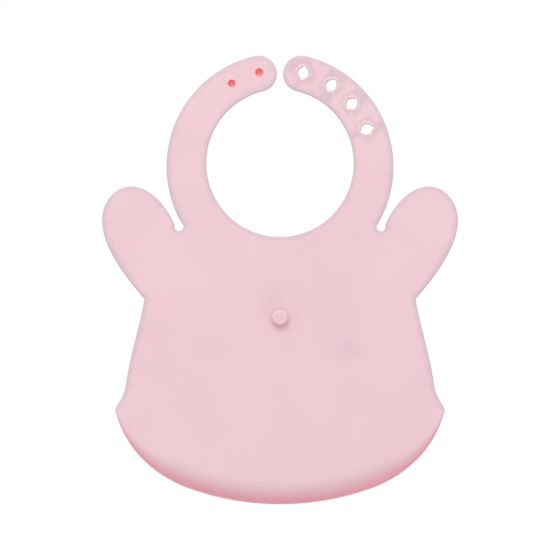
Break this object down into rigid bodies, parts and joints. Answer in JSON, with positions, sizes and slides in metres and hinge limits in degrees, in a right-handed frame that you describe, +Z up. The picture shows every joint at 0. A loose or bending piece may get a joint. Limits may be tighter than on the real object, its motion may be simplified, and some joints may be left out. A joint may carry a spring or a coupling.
{
  "type": "silicone bib",
  "caption": "Flat silicone baby bib with a round neck opening, buttoning straps, ear-shaped side flaps, a back storage stud and a catcher pocket along its lower edge.",
  "frame": {"origin": "centre of the round neck opening, at mid thickness of the sheet", "axes": "+Z up towards the strap ends, +X to the wearer's left (the strap with pegs), +Y towards the wearer, through the sheet; the pocket stands out towards -Y"},
  "size_m": [0.2384, 0.048, 0.3006],
  "materials": {
    "bib_silicone": "satin",
    "peg_silicone": "satin",
    "print_ink": "matt"
  },
  "bodies": {
    "chest": {"chest_panel": "bib_silicone", "storage_button": "bib_silicone"},
    "peg_strap_foot": {"peg_strap_lower": "bib_silicone"},
    "peg_strap_mid": {"peg_strap_middle": "bib_silicone", "inner_peg": "peg_silicone"},
    "peg_strap_end": {"peg_strap_tip": "bib_silicone", "outer_peg": "peg_silicone"},
    "hole_strap_foot": {"hole_strap_lower": "bib_silicone", "hole_lip_1": "bib_silicone"},
    "hole_strap_mid": {"hole_strap_middle": "bib_silicone", "hole_lip_2": "bib_silicone", "hole_lip_3": "bib_silicone"},
    "hole_strap_end": {"hole_strap_tip": "bib_silicone", "hole_lip_4": "bib_silicone"},
    "left_ear_flap_body": {"left_ear": "bib_silicone"},
    "right_ear_flap_body": {"right_ear": "bib_silicone"},
    "lap": {"lower_panel": "bib_silicone", "pocket_trough": "bib_silicone", "pocket_foot": "bib_silicone", "pocket_left_side": "bib_silicone", "pocket_right_side": "bib_silicone", "left_spot": "print_ink", "right_spot": "print_ink", "middle_spot": "print_ink"},
    "pocket_front_body": {"pocket_front": "bib_silicone", "pocket_rim": "bib_silicone"}
  },
  "joints": [
    {"name": "peg_strap_foot_bend", "type": "hinge", "parent": "chest", "child": "peg_strap_foot", "pos_m": [0.06179, 0, -0.00868], "axis": [-0.9903, 0, 0.1392], "range_deg": [-20, 35], "stiffness_Nm_per_rad": 0.06},
    {"name": "peg_strap_middle_bend", "type": "hinge", "parent": "peg_strap_foot", "child": "peg_strap_mid", "pos_m": [0.05385, 0, 0.03153], "axis": [-0.863, 0, -0.5053], "range_deg": [-20, 35], "stiffness_Nm_per_rad": 0.06},
    {"name": "peg_strap_tip_bend", "type": "hinge", "parent": "peg_strap_mid", "child": "peg_strap_end", "pos_m": [0.02538, 0, 0.05701], "axis": [-0.4067, 0, -0.9135], "range_deg": [-20, 35], "stiffness_Nm_per_rad": 0.06},
    {"name": "hole_strap_foot_bend", "type": "hinge", "parent": "chest", "child": "hole_strap_foot", "pos_m": [-0.06179, 0, -0.00868], "axis": [-0.9903, 0, -0.1392], "range_deg": [-20, 35], "stiffness_Nm_per_rad": 0.06},
    {"name": "hole_strap_middle_bend", "type": "hinge", "parent": "hole_strap_foot", "child": "hole_strap_mid", "pos_m": [-0.05385, 0, 0.03153], "axis": [-0.863, 0, 0.5053], "range_deg": [-20, 35], "stiffness_Nm_per_rad": 0.06},
    {"name": "hole_strap_tip_bend", "type": "hinge", "parent": "hole_strap_mid", "child": "hole_strap_end", "pos_m": [-0.02538, 0, 0.05701], "axis": [-0.4067, 0, 0.9135], "range_deg": [-20, 35], "stiffness_Nm_per_rad": 0.06},
    {"name": "left_ear_flap", "type": "hinge", "parent": "chest", "child": "left_ear_flap_body", "pos_m": [0.08015, 0, -0.06725], "axis": [-0.4092, 0, 0.9125], "range_deg": [-60, 60], "stiffness_Nm_per_rad": 0.04},
    {"name": "right_ear_flap", "type": "hinge", "parent": "chest", "child": "right_ear_flap_body", "pos_m": [-0.08015, 0, -0.06725], "axis": [-0.4092, 0, -0.9125], "range_deg": [-60, 60], "stiffness_Nm_per_rad": 0.04},
    {"name": "lap_fold", "type": "hinge", "parent": "chest", "child": "lap", "pos_m": [0, 0, -0.114], "axis": [1, 0, 0], "range_deg": [-80, 80], "stiffness_Nm_per_rad": 0.15, "springref_deg": -4.35},
    {"name": "pocket_swing", "type": "hinge", "parent": "lap", "child": "pocket_front_body", "pos_m": [0, -0.02, -0.222], "axis": [1, 0, 0], "range_deg": [-15, 12], "stiffness_Nm_per_rad": 0.2, "springref_deg": -0.73}
  ],
  "couplings": [
    {"joint": "peg_strap_middle_bend", "follows": "peg_strap_foot_bend", "ratio": 1},
    {"joint": "peg_strap_tip_bend", "follows": "peg_strap_foot_bend", "ratio": 1},
    {"joint": "hole_strap_middle_bend", "follows": "hole_strap_foot_bend", "ratio": 1},
    {"joint": "hole_strap_tip_bend", "follows": "hole_strap_foot_bend", "ratio": 1}
  ]
}
